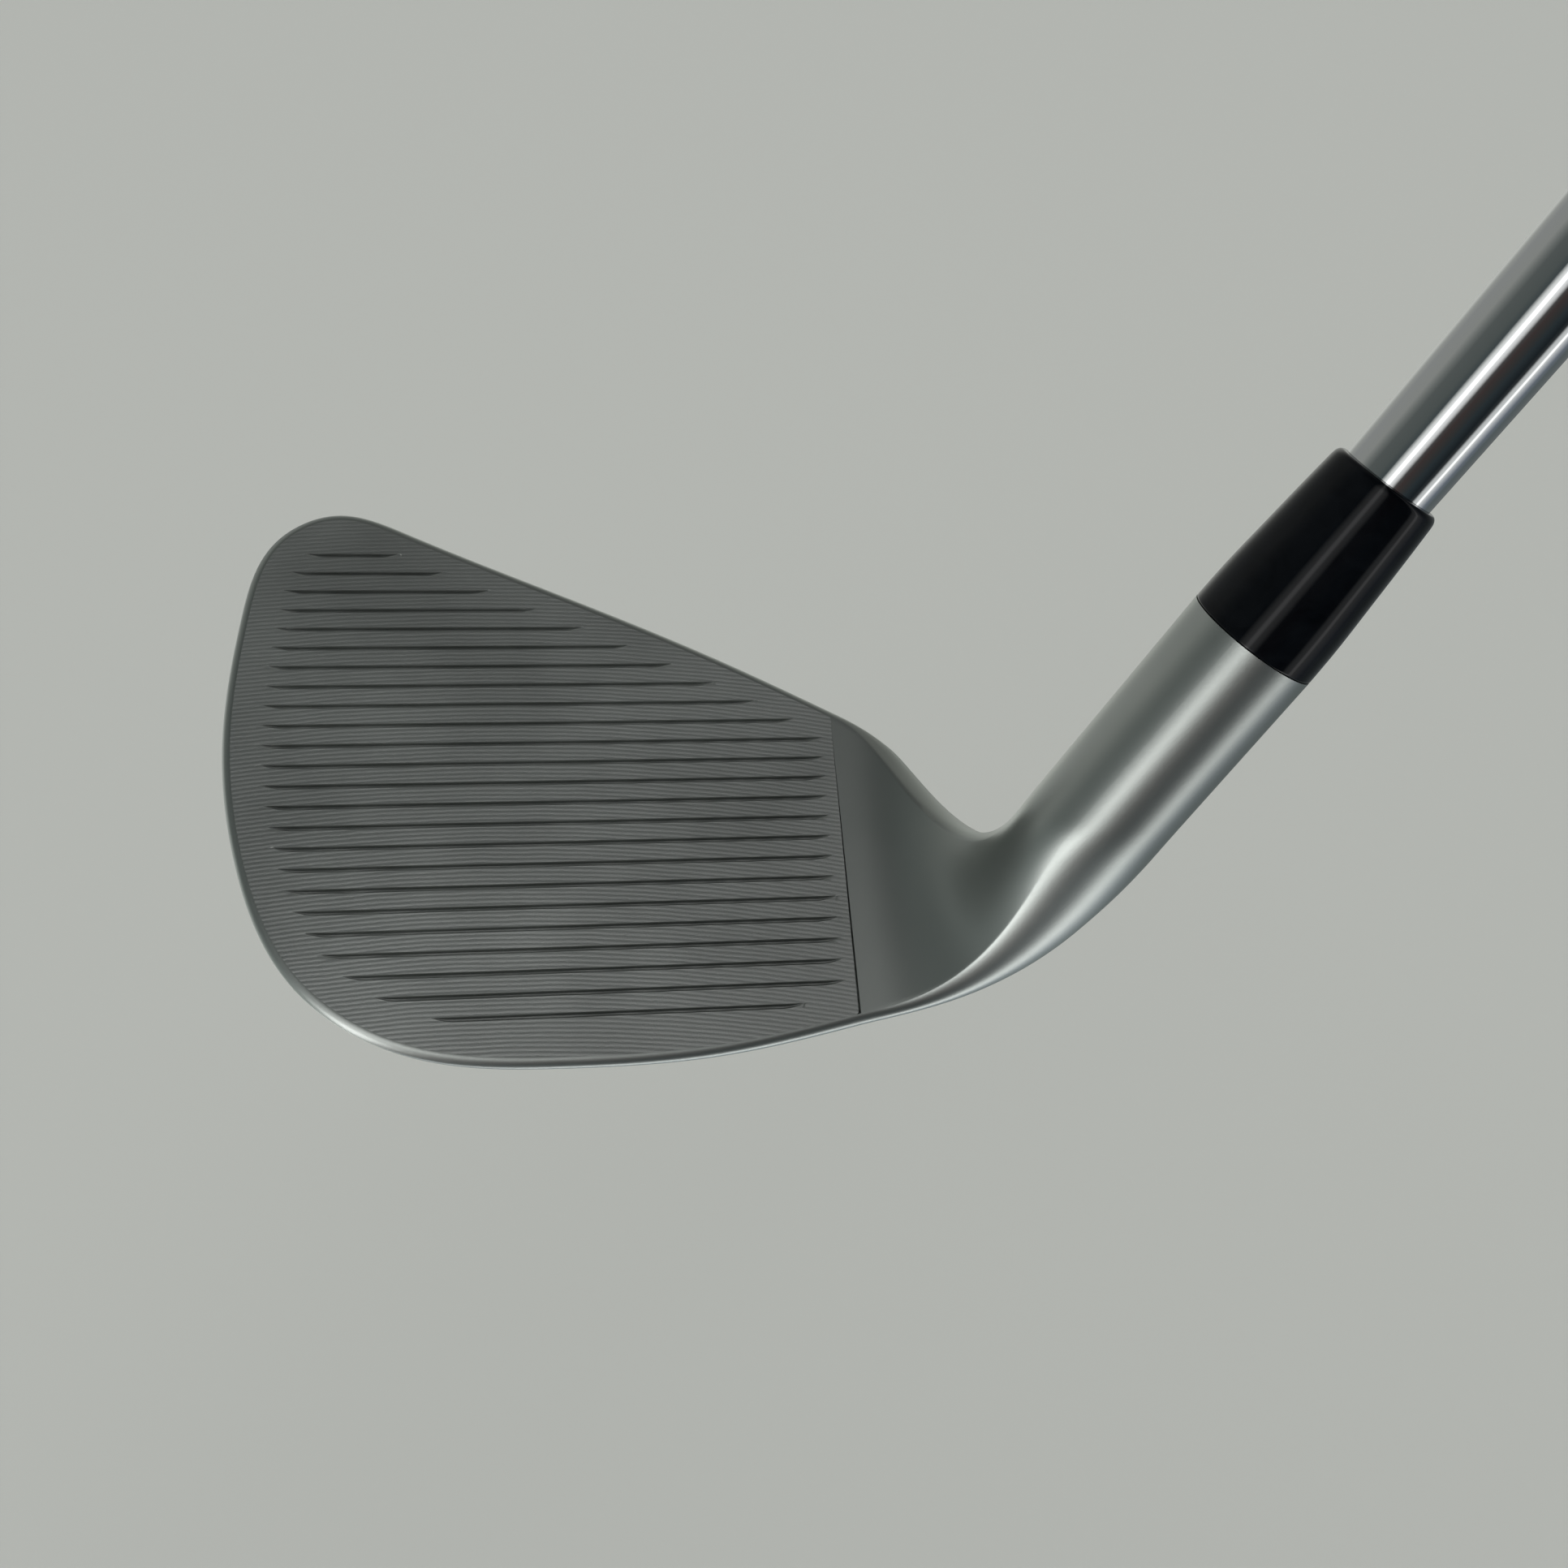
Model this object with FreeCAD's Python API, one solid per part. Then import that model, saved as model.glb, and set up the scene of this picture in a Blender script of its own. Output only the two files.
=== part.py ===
import FreeCAD, Part
import math
import os

# An iron golf club standing at address: sole on the ground, X from toe to heel, the face looking to -Y and up.
# The origin is where the shaft's axis meets the ground. All sizes are in millimetres and degrees.
LIE = 60.5                  # shaft axis above the ground
LOFT = 56.0                 # face plane from the vertical
CLUB_LENGTH = 895.0         # along the shaft's axis, from the ground to the end of the grip

AXIS_HEIGHT = 7.96          # where the shaft's axis meets the face plane, above the ground
HEEL_U = -12.0              # the straight line where the milled face ends, towards the heel
BOUNCE = 8.0                # the sole falls away behind the leading edge
EDGE_RADIUS = 1.0           # rounding round the face
BACK_PROFILE = [(80, 5.4), (56, 5.4), (27, 7.6), (15, 13.0), (7, 15.0), (-20, 17.0)]   # height, thickness

GROOVES = 24
GROOVE_PITCH = 2.379
GROOVE_TOP = 51.4           # height of the highest groove on the face
GROOVE_WIDTH = 0.7
GROOVE_FLOOR = 0.25
GROOVE_DEPTH = 0.45
GROOVE_MARGIN = 4.2         # plain border between the outline and the grooves' ends
GROOVE_HEEL_U = -13.4       # the grooves stop just short of the heel line

CAVITY_FLOOR = 4.2          # thickness left behind the face
CAVITY_CORNER = 3.0
CAVITY_OUTLINE = [(-20, 18), (-20, 28), (-62, 48.5), (-70.5, 46), (-72, 28), (-68, 18)]
PAD_THICKNESS = 1.2
BADGE_THICKNESS = 0.8
PAD_CLEARANCE = 0.1

HOSEL_RADIUS = 6.85
HOSEL_TOP = 55.85           # heights along the shaft's axis, from the ground
HEEL_TURN_END = 38.0        # above this the hosel is a plain cylinder
HEEL_TOP = 31.2             # the blade's top and low edges at the heel line
HEEL_LOW = -5.4
HEEL_REACH = 30.3           # how far the blade's section is carried on towards the hosel
HEEL_FALL = 16.4            # fall of its top edge on the way, straight and then curling down
HEEL_CURL = 15.2
HEEL_RISE = 6.0             # rise of its low edge
CROWN_GROWTH = 4.0          # the top edge's rounding grows by this
HEEL_OVERLAP = 3.0          # the heel's skin runs this far on inside the hosel's cylinder
HEEL_STEP = 0.03            # how much smaller it is there
FERRULE_TOP = 74.65
# radius of the ferrule at each share of its height
FERRULE_CURVE = [(6.72, 0.22), (6.4, 0.47), (6.08, 0.71), (5.74, 0.93), (5.55, 0.98), (5.2, 1)]
TIP = 25.0
BORE_BOTTOM = 24.0
TIP_RADIUS = 4.51
TIP_TAPER = 0.00375         # radius gained per millimetre
GLUE_GAP = 0.15
FERRULE_GAP = 0.02
SHAFT_WALL = 0.46
STEP_SLOPE = 1.5            # length of the slope up to each step
FIRST_STEP = 225.0
STEP_PITCH = 38.0
STEPS = 11
BUTT_RADIUS = 7.62
BUTT = CLUB_LENGTH - 6.0

PLUG_LENGTH = 12.0
BAND_STEP = 9               # the step that carries the label
BAND_MARGIN = 3.0
BAND_THICKNESS = 0.1
GRIP_LENGTH = 267.0
GRIP_MOUTH_RADIUS = 8.9
GRIP_FLARE = [(9.4, 60), (10.0, 110), (11.0, 165), (12.1, 215)]     # radius, height above the mouth
GRIP_END_RADIUS = 13.25
TAPE_THICKNESS = 0.3
CAP_LENGTH = 10.0
CAP_SKIRT = 8.0             # the part of the cap that is a true cylinder
VENT_RADIUS = 1.6
SLIP = 0.1                  # clearance between pieces that slide together
GRIP_LOW = CLUB_LENGTH - GRIP_LENGTH
GRIP_TOP = CLUB_LENGTH - CAP_LENGTH

lie, loft, bounce = (math.radians(angle) for angle in (LIE, LOFT, BOUNCE))
SHAFT_AXIS = FreeCAD.Vector(math.cos(lie), 0, math.sin(lie))
AXIS_TO_FACE = AXIS_HEIGHT / math.sin(lie)
FACE_ORIGIN = SHAFT_AXIS * AXIS_TO_FACE
UP_FACE = FreeCAD.Vector(0, math.sin(loft), math.cos(loft))
INTO_HEAD = FreeCAD.Vector(0, math.cos(loft), -math.sin(loft))
SOLE_RUN = FreeCAD.Vector(0, math.cos(bounce), -math.sin(bounce))

# The blade's outline on the face plane, from the heel along the top line, round the toe and back along the
# leading edge: distance towards the heel, height up the face.
OUTLINE = [(HEEL_U, 31.2), (-25, 38.2), (-42, 46.3), (-60, 54.6), (-68.3, 57.1), (-74.6, 53.9), (-78.3, 43.5),
           (-79.5, 28), (-77.4, 14), (-71.5, 1.3), (-60, -6.6), (-44, -8.7), (-27, -8.1), (HEEL_U, -5.4)]


def on_face(u, w, depth=0.0):
    """A point given by its distance along the face, height up the face and depth into the head."""
    return FACE_ORIGIN + FreeCAD.Vector(u, 0, 0) + UP_FACE * w + INTO_HEAD * depth


def outline_face():
    """The blade's outline as a flat face."""
    curve = Part.BSplineCurve()
    curve.interpolate([FreeCAD.Vector(u, w, 0) for u, w in OUTLINE])
    heel_line = Part.makeLine(curve.EndPoint, curve.StartPoint)
    return Part.Face(Part.Wire([curve.toShape(), heel_line]))


def cavity_face(shrink=0.0):
    """The back cavity's outline, with rounded corners, drawn in by a clearance."""
    points = [FreeCAD.Vector(u, w, 0) for u, w in CAVITY_OUTLINE]
    sharp = Part.Face(Part.makePolygon(points + points[:1]))
    return sharp.makeOffset2D(-shrink - CAVITY_CORNER).makeOffset2D(CAVITY_CORNER)


def stand_on_face(shape, depth=0.0):
    """Carries a shape drawn in the flat XY plane, with -Z into the head, onto the face plane."""
    placed = shape.copy()
    tilt = FreeCAD.Rotation(FreeCAD.Vector(1, 0, 0), 90 - LOFT)
    placed.Placement = FreeCAD.Placement(on_face(0, 0, depth), tilt)
    return placed


def blade():
    """Face plane in front, straight walls at the top and toe, a sole that runs back under it."""
    outline = stand_on_face(outline_face())
    straight = outline.extrude(INTO_HEAD * 40)
    sole = outline.extrude(SOLE_RUN * 60)
    corners = [on_face(-100, w, depth) for w, depth in BACK_PROFILE]
    corners += [on_face(-100, BACK_PROFILE[-1][0], -1), on_face(-100, BACK_PROFILE[0][0], -1)]
    body = Part.Face(Part.makePolygon(corners + corners[:1])).extrude(FreeCAD.Vector(150, 0, 0))
    block = straight.common(sole).common(body).removeSplitter()
    return block.makeFillet(EDGE_RADIUS, [edge for edge in block.Edges if on_face_border(edge)])


def on_face_border(edge):
    """Whether an edge lies in the face plane and isn't the heel line."""
    middle = edge.valueAt((edge.FirstParameter + edge.LastParameter) / 2) - FACE_ORIGIN
    return abs(middle.dot(INTO_HEAD)) < 0.01 and abs(middle.x - HEEL_U) > 1


def smooth(x):
    """Rises from 0 to 1 with no kink at either end."""
    x = min(max(x, 0.0), 1.0)
    return x ** 3 * (10 - 15 * x + 6 * x * x)


def heel_section(turn):
    """The blade's section carried on towards the hosel, as corners of height, depth and angle on the hosel.

    Its top edge falls and its lower edge rises along the way, and the top edge grows rounder.
    """
    top = HEEL_TOP - HEEL_FALL * turn - HEEL_CURL * turn ** 2
    low = HEEL_LOW + HEEL_RISE * turn
    full = (top - low) / (HEEL_TOP - HEEL_LOW)
    r = EDGE_RADIUS
    crown = r + CROWN_GROWTH * smooth(2 * (turn - 0.03))
    near_corner = 0.3
    face = [(low + r + share * (top - crown - low - r), 0, 45 - 71 * share)
            for share in (0, 0.25, 0.5, 0.75, 1)]
    crest = [(top - near_corner * crown, near_corner * crown, -46), (top, crown, -66), (top, 1.2 + crown, -78)]
    back = [(top - share * full, depth, angle) for share, depth, angle in
            ((4, 7.6, -84), (16.2, 13.0, -105), (20.6, 14.3, -125))]
    sole = [(low + share * full, depth, angle) for share, depth, angle in ((10.5, 9.6, -160), (5, 4.7, -200))]
    edge = [(low, r, -238), (low + near_corner * r, near_corner * r, -276)]
    return face + crest + back + sole + edge


def heel_ring(turn):
    """One section of the heel, from the blade's own section at turn 0 to the hosel's circle at turn 1.

    Each corner moves to its angle on the circle. Corners on the toe side get there first, and those of the
    top edge last, behind the hosel.
    """
    height = AXIS_TO_FACE + (HEEL_TURN_END - AXIS_TO_FACE) * turn
    towards_toe = FreeCAD.Vector(-math.sin(lie), 0, math.cos(lie))
    ring = []
    for w, depth, angle in heel_section(turn):
        behind = smooth((-angle - 34) / 20) * (1 - smooth((-angle - 84) / 60))
        toe_side = (0.5 * (1 + math.cos(math.radians(angle + 15)))) ** 2
        sooner = (0.05 + 0.24 * toe_side) * (1 - behind) + 0.66 * behind
        share = smooth((turn - 0.2 * behind) / (1 - sooner))
        turned_by = math.radians(angle)
        out = towards_toe * math.cos(turned_by) + FreeCAD.Vector(0, -math.sin(turned_by), 0)
        on_circle = SHAFT_AXIS * height + out * (HOSEL_RADIUS - HEEL_STEP)
        ring.append(on_face(HEEL_U + HEEL_REACH * turn, w, depth) * (1 - share) + on_circle * share)
    return ring


def ring_points(ring, count=36):
    """Evenly spaced points round the smooth closed curve through a section's corners, the first repeated."""
    curve = Part.BSplineCurve()
    curve.interpolate(Points=ring, PeriodicFlag=True)
    return curve.discretize(Number=count + 1)


def heel():
    """The skin that turns from the blade up into the round hosel, closed with a flat cap at each end."""
    rings = [ring_points(heel_ring(step / 10)) for step in range(11)]
    rings.append([point + SHAFT_AXIS * HEEL_OVERLAP for point in rings[-1]])
    surface = Part.BSplineSurface()
    surface.interpolate(rings)
    caps = [Part.Face(Part.Wire(surface.uIso(end).toShape())) for end in (0, 1)]
    skin = Part.Shell([surface.toShape()] + caps)
    skin.sewShape()
    return Part.Solid(skin)


def turned(profile):
    """A closed outline of (radius, height) points turned round the shaft's axis."""
    points = [FreeCAD.Vector(r, 0, h) for r, h in profile]
    flat = Part.Face(Part.makePolygon(points + points[:1]))
    solid = flat.revolve(FreeCAD.Vector(0, 0, 0), FreeCAD.Vector(0, 0, 1), 360)
    solid.rotate(FreeCAD.Vector(0, 0, 0), FreeCAD.Vector(0, 1, 0), 90 - LIE)
    return solid


def tip_radius(height):
    return TIP_RADIUS + TIP_TAPER * (height - TIP)


def groove_ends(height):
    """Toe and heel end of the groove at a height: a margin in from the outline, and straight at the heel."""
    level = Part.makeLine(FreeCAD.Vector(-100, height, 0), FreeCAD.Vector(0, height, 0))
    inside = outline_face().makeOffset2D(-GROOVE_MARGIN).common(level).BoundBox
    return inside.XMin, min(inside.XMax, GROOVE_HEEL_U)


def groove(height):
    """A channel with sloping sides, cut along the face; the cutter stands proud of it by a millimetre."""
    toe, heel_end = groove_ends(height)
    half, floor = GROOVE_WIDTH / 2, GROOVE_FLOOR / 2
    corners = [(-half, -1), (half, -1), (half, 0), (floor, GROOVE_DEPTH), (-floor, GROOVE_DEPTH), (-half, 0)]
    points = [on_face(toe, height + w, depth) for w, depth in corners]
    return Part.Face(Part.makePolygon(points + points[:1])).extrude(FreeCAD.Vector(heel_end - toe, 0, 0))


def head_body():
    """Blade, heel and hosel in one casting, with the bore, the back cavity and the grooves cut from it."""
    hosel = turned([(0, HEEL_TURN_END), (HOSEL_RADIUS, HEEL_TURN_END),
                    (HOSEL_RADIUS, HOSEL_TOP), (0, HOSEL_TOP)])
    head = blade().fuse([heel(), hosel]).removeSplitter()
    gap = GLUE_GAP
    bore = turned([(0, BORE_BOTTOM), (tip_radius(BORE_BOTTOM) + gap, BORE_BOTTOM),
                   (tip_radius(HOSEL_TOP + 1) + gap, HOSEL_TOP + 1), (0, HOSEL_TOP + 1)])
    pocket = cavity_face().extrude(FreeCAD.Vector(0, 0, -30))
    cuts = [bore, stand_on_face(pocket, CAVITY_FLOOR)]
    cuts += [groove(GROOVE_TOP - i * GROOVE_PITCH) for i in range(GROOVES)]
    return head.cut(cuts)


def cavity_layer(thickness, depth):
    sheet = cavity_face(PAD_CLEARANCE).extrude(FreeCAD.Vector(0, 0, -thickness))
    return stand_on_face(sheet, depth)


def hosel_glue():
    """The film of epoxy between the bore and the shaft's tip."""
    gap = GLUE_GAP
    return turned([(tip_radius(TIP), TIP), (tip_radius(TIP) + gap, TIP),
                   (tip_radius(HOSEL_TOP) + gap, HOSEL_TOP), (tip_radius(HOSEL_TOP), HOSEL_TOP)])


def ferrule():
    """A black collar, straight where it meets the hosel and then tapering to a rounded top."""
    rise = FERRULE_TOP - HOSEL_TOP
    points = [(radius, HOSEL_TOP + share * rise) for radius, share in [(HOSEL_RADIUS, 0)] + FERRULE_CURVE]
    bore = FERRULE_GAP
    bored = [(tip_radius(height) + bore, height) for height in (FERRULE_TOP, HOSEL_TOP)]
    return turned(points + bored)


def shaft():
    """A steel tube, tapered at the tip and then stepped up to the butt."""
    first = tip_radius(FIRST_STEP)
    rise = (BUTT_RADIUS - first) / STEPS
    outside = [(TIP_RADIUS, TIP), (first, FIRST_STEP)]
    for step in range(STEPS):
        low = FIRST_STEP + step * STEP_PITCH
        radius = first + rise * (step + 1)
        outside += [(radius, low + STEP_SLOPE), (radius, low + STEP_PITCH)]
    outside[-1] = (BUTT_RADIUS, BUTT)
    inside = [(radius - SHAFT_WALL, height) for radius, height in reversed(outside)]
    return turned(outside + inside)


def tip_plug():
    """The swing-weight plug inside the tip."""
    gap = SHAFT_WALL + SLIP / 2
    top = TIP + PLUG_LENGTH
    return turned([(0, TIP), (tip_radius(TIP) - gap, TIP), (tip_radius(top) - gap, top), (0, top)])


def shaft_radius(height):
    """The shaft's outer radius at a height that isn't on a step."""
    if height < FIRST_STEP:
        return tip_radius(height)
    first = tip_radius(FIRST_STEP)
    step = min(math.floor((height - FIRST_STEP) / STEP_PITCH), STEPS - 1)
    return first + (BUTT_RADIUS - first) / STEPS * (step + 1)


def shaft_band():
    """A thin plain label wrapped round the shaft, between two steps."""
    low = FIRST_STEP + STEP_PITCH * BAND_STEP + BAND_MARGIN
    high = low + STEP_PITCH - 2 * BAND_MARGIN
    inner = shaft_radius(low)
    outer = inner + BAND_THICKNESS
    return turned([(inner, low), (outer, low), (outer, high), (inner, high)])


def grip_tape():
    """The double-sided tape that the grip is slid over."""
    low, inner = GRIP_LOW + 3, BUTT_RADIUS + SLIP / 10
    outer = inner + TAPE_THICKNESS
    return turned([(inner, low), (outer, low), (outer, GRIP_TOP), (inner, GRIP_TOP)])


def grip():
    """A rubber sleeve with a rolled lip at its mouth, flaring towards the cap."""
    inner = BUTT_RADIUS + SLIP / 5 + TAPE_THICKNESS
    outside = [(GRIP_MOUTH_RADIUS - 0.5, 0), (GRIP_MOUTH_RADIUS, 1), (GRIP_MOUTH_RADIUS, 3)]
    outside += GRIP_FLARE + [(GRIP_END_RADIUS, GRIP_LENGTH - CAP_LENGTH)]
    points = [(radius, GRIP_LOW + rise) for radius, rise in outside]
    return turned(points + [(inner, GRIP_TOP), (inner, GRIP_LOW)])


def grip_cap():
    """The harder cap bonded to the grip's end, closed over the butt, with a vent in the middle."""
    edge = CAP_LENGTH - CAP_SKIRT
    corner = [(GRIP_END_RADIUS - edge * (1 - math.cos(a)), CLUB_LENGTH - edge * (1 - math.sin(a)))
              for a in (math.radians(15 * i) for i in range(7))]
    inner = BUTT_RADIUS + SLIP
    return turned([(inner, GRIP_TOP), (GRIP_END_RADIUS, GRIP_TOP)] + corner
                  + [(VENT_RADIUS, CLUB_LENGTH), (VENT_RADIUS, BUTT), (inner, BUTT)])


os.makedirs("parts", exist_ok=True)
nodes = {
    "head_body": head_body(),
    "cavity_pad": cavity_layer(PAD_THICKNESS, CAVITY_FLOOR),
    "cavity_badge": cavity_layer(BADGE_THICKNESS, CAVITY_FLOOR + PAD_THICKNESS),
    "hosel_glue": hosel_glue(),
    "ferrule": ferrule(),
    "shaft": shaft(),
    "tip_plug": tip_plug(),
    "shaft_band": shaft_band(),
    "grip_tape": grip_tape(),
    "grip": grip(),
    "grip_cap": grip_cap(),
}
for name, shape in nodes.items():
    solid = shape.Solids[0]
    print(name, "solids", len(shape.Solids), "valid", solid.isValid(), "volume", round(solid.Volume, 1),
          "low", round(solid.BoundBox.ZMin, 2))
    solid.exportStep("parts/" + name + ".step")
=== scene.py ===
"""An iron golf club at address: satin steel head, black ferrule, chrome shaft and rubber grip.

The frame is in metres, and shapes are worked out in millimetres. On the head a point is given by u, its
distance along the face towards the heel, w, its height up the face, and d, its depth into the head.
"""
import math

import bmesh
import bpy
import numpy as np
from mathutils import Matrix, Vector


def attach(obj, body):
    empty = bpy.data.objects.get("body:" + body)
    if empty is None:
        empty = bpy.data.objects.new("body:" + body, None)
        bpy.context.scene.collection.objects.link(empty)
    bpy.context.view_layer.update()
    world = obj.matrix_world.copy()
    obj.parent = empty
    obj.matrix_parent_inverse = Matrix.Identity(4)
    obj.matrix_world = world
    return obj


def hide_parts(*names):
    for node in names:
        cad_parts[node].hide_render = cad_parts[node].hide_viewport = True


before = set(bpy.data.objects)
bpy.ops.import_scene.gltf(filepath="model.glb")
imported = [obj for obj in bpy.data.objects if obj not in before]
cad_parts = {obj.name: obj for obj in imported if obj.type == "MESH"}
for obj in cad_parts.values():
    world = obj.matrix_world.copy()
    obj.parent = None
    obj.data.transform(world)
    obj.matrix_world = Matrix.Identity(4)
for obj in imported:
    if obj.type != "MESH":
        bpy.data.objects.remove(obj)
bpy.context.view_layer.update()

MM = 0.001
LIE = math.radians(60.5)
LOFT = math.radians(56.0)
BOUNCE = math.radians(8.0)
SOLE_RISE = math.sin(LOFT - BOUNCE)       # the sole's way back, up the face and into the head
SOLE_DEPTH = math.cos(LOFT - BOUNCE)
AXIS_TO_FACE = 7.96 / math.sin(LIE)      # along the shaft's axis, from the ground to the face plane
SHAFT_AXIS = np.array([math.cos(LIE), 0.0, math.sin(LIE)])
TOE_SIDE = np.array([-math.sin(LIE), 0.0, math.cos(LIE)])
FRONT = np.array([0.0, -1.0, 0.0])
FACE_ORIGIN = SHAFT_AXIS * AXIS_TO_FACE
UP_FACE = np.array([0.0, math.sin(LOFT), math.cos(LOFT)])
INTO_HEAD = np.array([0.0, math.cos(LOFT), -math.sin(LOFT)])

# The head, in millimetres
HEEL_U = -12.0
# The blade's outline from the heel along the top line, round the toe and back: (u, w)
TOE_CURVE = [(HEEL_U, 31.2), (-25, 38.2), (-42, 46.3), (-60, 54.6), (-68.3, 57.1), (-74.6, 53.9),
             (-78.3, 43.5), (-79.5, 28), (-77.4, 14), (-71.5, 1.3), (-60, -6.6), (-44, -8.7), (-27, -8.1),
             (HEEL_U, -5.4)]
RIM = 1.0                                 # rounding round the face
BACK_EDGE = 1.2                           # rounding of the back's top edge
BACK_AT = ((-20, 7, 15, 27, 56, 80), (17.0, 15.0, 13.0, 7.6, 5.4, 5.4))      # height, thickness
SEAT_DEPTH = 0.8                          # the milled face sits in the skin as a plate of its own
FACE_COLUMNS = 64
HEEL_REACH = 30.3                         # how far the blade's section is carried on towards the hosel
HEEL_FALL = 16.4                          # fall of its top edge on the way, straight and then curling down
HEEL_CURL = 15.2
HEEL_RISE = 6.0                           # rise of its low edge
CROWN_GROWTH = 4.0                        # the top edge's rounding grows by this
HEEL_TURN_END = 38.0                      # above this the hosel is a plain cylinder
HOSEL_RADIUS = 6.85
HOSEL_TOP = 55.85
CAVITY_FLOOR = 4.2                        # thickness left behind the face
CAVITY_CORNER = 3.0
CAVITY_OUTLINE = [(-20, 18), (-20, 28), (-62, 48.5), (-70.5, 46), (-72, 28), (-68, 18)]
CUTTER_END = 30.0                         # well past the back

# The grooves
GROOVES = 24
GROOVE_PITCH = 2.379
GROOVE_TOP = 51.4
GROOVE_HALF = 0.28                        # half its width at the face and at its floor
GROOVE_FLOOR = 0.09
GROOVE_DEPTH = 0.36
LOW_LIP = -0.2                            # points below this on a groove's section are its lower lip, which gets a painted highlight
TOE_MARGIN = 4.0
TOP_MARGIN = 3.3
GROOVE_HEEL_U = -12.9
RUN_OUT = 2.6                             # length over which the cutter leaves the metal
RELAX = 0.8                               # past a groove's end its lines spread out again within this
NARROWEST = 0.06

# Ferrule, shaft and grip: heights along the shaft's axis
FERRULE_TOP = 74.65
TIP = 25.0
TIP_RADIUS = 4.51
TIP_TAPER = 0.00375                       # radius gained per millimetre
SHAFT_LOW = 30.0
FIRST_STEP = 225.0
STEP_PITCH = 38.0
STEPS = 11
BUTT_RADIUS = 7.62
BUTT = 889.0
GRIP_LOW = 628.0
GRIP_TOP = 885.0
CLUB_LENGTH = 895.0
CAP_RADIUS = 13.25
CAP_BORE = 7.0
VENT_RADIUS = 1.6
DIAMOND_PITCH = 7.0
DIAMOND_TURNS = 14                        # spirals round the grip
DIAMOND_DEPTH = 0.28

SHARP = math.radians(32)                  # edges that bend more than this stay crisp
ARC_PITCH = 0.0005                        # metres between the cutter's passes
ARC_CENTRE = tuple((FACE_ORIGIN + [-52, 0, 0] - 190 * UP_FACE) * MM)    # below the sole

ROOM_LIGHT = 1.0
BELOW_LIGHT = 2.0                         # the pale floor past the toe
CEILING_LIGHT = 0.42                      # the room is dimmer overhead
FLOOR_LIGHT = 2.04                        # the lamp over the floor
FLOOR = -0.25                             # metres: far below the sole, so the head's shadow is faint


def linear(code):
    """An sRGB hex colour as the linear RGBA that shaders take."""
    parts = np.array([int(code[i:i + 2], 16) for i in (1, 3, 5)]) / 255
    low = parts / 12.92
    high = ((parts + 0.055) / 1.055) ** 2.4
    return (*np.where(parts <= 0.04045, low, high), 1.0)


def smooth(x):
    """Rises from 0 to 1 with no kink at either end."""
    x = np.clip(x, 0, 1)
    return x ** 3 * (x * (6 * x - 15) + 10)


def spline(points, count):
    """A natural cubic through the points, sampled evenly along its chords."""
    points = np.asarray(points, float)
    along = np.r_[0, np.cumsum(np.linalg.norm(np.diff(points, axis=0), axis=1))]
    step = np.diff(along)[:, None]
    size = len(points)
    system = np.eye(size)
    right = np.zeros_like(points)
    for i in range(1, size - 1):
        system[i, i - 1:i + 2] = step[i - 1, 0], 2 * (step[i - 1, 0] + step[i, 0]), step[i, 0]
        right[i] = 6 * ((points[i + 1] - points[i]) / step[i] - (points[i] - points[i - 1]) / step[i - 1])
    bend = np.linalg.solve(system, right)
    at = np.linspace(0, along[-1], count)
    k = np.clip(np.searchsorted(along, at) - 1, 0, size - 2)
    a = (along[k + 1] - at)[:, None] / step[k]
    b = 1 - a
    curve = a * points[k] + b * points[k + 1]
    return curve + ((a ** 3 - a) * bend[k] + (b ** 3 - b) * bend[k + 1]) * step[k] ** 2 / 6


def in_frame(points):
    """Face coordinates (u, w, d) to the frame, still in millimetres."""
    u, w, d = points[..., :1], points[..., 1:2], points[..., 2:3]
    return FACE_ORIGIN + u * [1, 0, 0] + w * UP_FACE + d * INTO_HEAD


def piece(name, grid, node, material, wrap=True, caps=(True, True), value=None):
    """A skin over a grid of points: rows of points joined row to row, wrapped round or left open.

    A cap closes the first or the last row. Points that fall on each other are merged, and every face is
    turned to point outwards. value is a named number at each point, for the material.
    """
    rows, columns = grid.shape[:2]
    index = np.arange(rows * columns).reshape(rows, columns)
    if wrap:
        index = np.concatenate([index, index[:, :1]], 1)
    corners = np.stack([index[:-1, :-1], index[:-1, 1:], index[1:, 1:], index[1:, :-1]], -1).reshape(-1, 4)
    faces = corners.tolist()
    faces += [index[row, :columns].tolist() for row, wanted in zip((0, -1), caps) if wanted]
    mesh = bpy.data.meshes.new(name)
    mesh.from_pydata((grid.reshape(-1, 3) * MM).tolist(), [], faces)
    if value is not None:
        mesh.attributes.new(value[0], "FLOAT", "POINT").data.foreach_set("value", value[1].ravel())
    skin = bmesh.new()
    skin.from_mesh(mesh)
    bmesh.ops.remove_doubles(skin, verts=skin.verts, dist=2e-6)
    bmesh.ops.dissolve_degenerate(skin, edges=skin.edges, dist=1e-7)
    bmesh.ops.recalc_face_normals(skin, faces=skin.faces)
    skin.to_mesh(mesh)
    skin.free()
    mesh.shade_smooth()
    mesh.set_sharp_from_angle(angle=SHARP)
    made = bpy.data.objects.new(name, mesh)
    bpy.context.scene.collection.objects.link(made)
    mesh.materials.append(material)
    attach(made, "root")
    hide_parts(node)
    return made


# ---------------------------------------------------------------- the head's skin

outline = spline(TOE_CURVE, 900)
toe_at = int(np.argmin(outline[:, 0]))
slope = np.gradient(outline, axis=0)
outward = np.stack([slope[:, 1], -slope[:, 0]], -1) / np.linalg.norm(slope, axis=1)[:, None]
outward *= np.sign(outward[0, 1])
top_side = slice(toe_at, None, -1)        # toe to heel along the top line
low_side = slice(toe_at, None)            # toe to heel along the leading edge


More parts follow.
